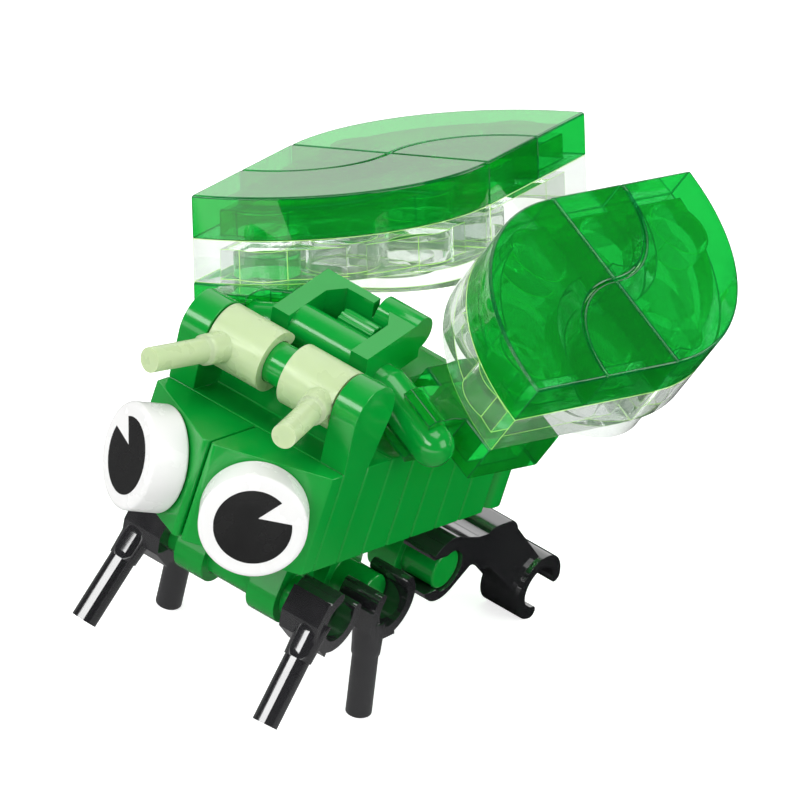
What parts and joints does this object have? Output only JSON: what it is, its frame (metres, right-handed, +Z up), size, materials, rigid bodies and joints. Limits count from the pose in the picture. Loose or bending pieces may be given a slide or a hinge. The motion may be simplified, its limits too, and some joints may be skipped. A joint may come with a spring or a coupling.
{
  "type": "buildable toy insect",
  "caption": "Small brick-built insect: a body of stacked plates, round white eyes, clip-on feelers and legs, and layered see-through wings on a tilted saddle.",
  "frame": {"origin": "on the table plane under the middle of the insect, at rest", "axes": "+Z up, -Y is the way the face looks, +X is the insect's left side"},
  "size_m": [0.0352, 0.0528, 0.0347],
  "materials": {
    "green_plastic": "glossy moulded",
    "white_plastic": "glossy moulded",
    "black_ink": "printed, smooth",
    "black_plastic": "glossy moulded",
    "pale_green_plastic": "satin moulded",
    "clear_green_plastic": "transparent, polished",
    "clear_plastic": "transparent, polished"
  },
  "bodies": {
    "body": {"head_wedge_left": "green_plastic", "head_wedge_right": "green_plastic", "plate_1_top_handle": "green_plastic", "plate_2_front_pins": "green_plastic", "plate_3": "green_plastic", "plate_4_middle_pins": "green_plastic", "plate_5": "green_plastic", "plate_6": "green_plastic", "plate_7_rear_pins": "green_plastic", "tail_cap": "green_plastic", "saddle_post": "green_plastic", "wing_saddle": "green_plastic"},
    "eye_left": {"eye_left": "white_plastic", "eye_left_pupil": "black_ink"},
    "antenna_left": {"antenna_left": "pale_green_plastic"},
    "leg_front_left": {"leg_front_left": "black_plastic"},
    "leg_middle_left": {"leg_middle_left": "black_plastic"},
    "leg_hind_left": {"leg_hind_left": "black_plastic"},
    "wing_left": {"wing_front_ring_tile_left": "clear_green_plastic", "wing_front_quarter_tile_left": "clear_green_plastic", "wing_rear_ring_tile_left": "clear_green_plastic", "wing_rear_quarter_tile_left": "clear_green_plastic", "wing_front_plate_left": "clear_plastic", "wing_rear_plate_left": "clear_plastic", "wing_round_plate_left": "clear_plastic", "wing_clip_plate_left": "clear_green_plastic"},
    "eye_right": {"eye_right": "white_plastic", "eye_right_pupil": "black_ink"},
    "antenna_right": {"antenna_right": "pale_green_plastic"},
    "leg_front_right": {"leg_front_right": "black_plastic"},
    "leg_middle_right": {"leg_middle_right": "black_plastic"},
    "leg_hind_right": {"leg_hind_right": "black_plastic"},
    "wing_right": {"wing_front_ring_tile_right": "clear_green_plastic", "wing_front_quarter_tile_right": "clear_green_plastic", "wing_rear_ring_tile_right": "clear_green_plastic", "wing_rear_quarter_tile_right": "clear_green_plastic", "wing_front_plate_right": "clear_plastic", "wing_rear_plate_right": "clear_plastic", "wing_round_plate_right": "clear_plastic", "wing_clip_plate_right": "clear_green_plastic"}
  },
  "joints": [
    {"name": "eye_left_spin", "type": "hinge", "parent": "body", "child": "eye_left", "pos_m": [0.004, -0.02177, 0.01908], "axis": [0.5295, -0.8449, 0.0764], "continuous": true},
    {"name": "antenna_left_swing", "type": "hinge", "parent": "body", "child": "antenna_left", "pos_m": [0.0032, -0.01551, 0.0268], "axis": [-1, 0, 0], "range_deg": [-15, 70]},
    {"name": "wing_left_lift", "type": "hinge", "parent": "body", "child": "wing_left", "pos_m": [0.00819, -0.00977, 0.02468], "axis": [0.9279, -0.1454, -0.3434], "range_deg": [0, 45]},
    {"name": "leg_front_left_swing", "type": "hinge", "parent": "body", "child": "leg_front_left", "pos_m": [0.006, -0.01384, 0.00983], "axis": [-1, 0, 0], "range_deg": [-20, 50]},
    {"name": "leg_middle_left_swing", "type": "hinge", "parent": "body", "child": "leg_middle_left", "pos_m": [0.006, -0.00746, 0.00926], "axis": [-1, 0, 0], "range_deg": [-30, 30]},
    {"name": "leg_hind_left_swing", "type": "hinge", "parent": "body", "child": "leg_hind_left", "pos_m": [0.006, 0.0021, 0.00839], "axis": [-1, 0, 0], "range_deg": [-12, 15]},
    {"name": "eye_right_spin", "type": "hinge", "parent": "body", "child": "eye_right", "pos_m": [-0.004, -0.02177, 0.01908], "axis": [-0.5295, -0.8449, 0.0764], "continuous": true},
    {"name": "antenna_right_swing", "type": "hinge", "parent": "body", "child": "antenna_right", "pos_m": [-0.0032, -0.01551, 0.0268], "axis": [-1, 0, 0], "range_deg": [-15, 70]},
    {"name": "wing_right_lift", "type": "hinge", "parent": "body", "child": "wing_right", "pos_m": [-0.00819, -0.00977, 0.02468], "axis": [0.9279, 0.1454, 0.3434], "range_deg": [0, 45]},
    {"name": "leg_front_right_swing", "type": "hinge", "parent": "body", "child": "leg_front_right", "pos_m": [-0.006, -0.01384, 0.00983], "axis": [-1, 0, 0], "range_deg": [-20, 50]},
    {"name": "leg_middle_right_swing", "type": "hinge", "parent": "body", "child": "leg_middle_right", "pos_m": [-0.006, -0.00746, 0.00926], "axis": [-1, 0, 0], "range_deg": [-30, 30]},
    {"name": "leg_hind_right_swing", "type": "hinge", "parent": "body", "child": "leg_hind_right", "pos_m": [-0.006, 0.0021, 0.00839], "axis": [-1, 0, 0], "range_deg": [-12, 15]}
  ]
}
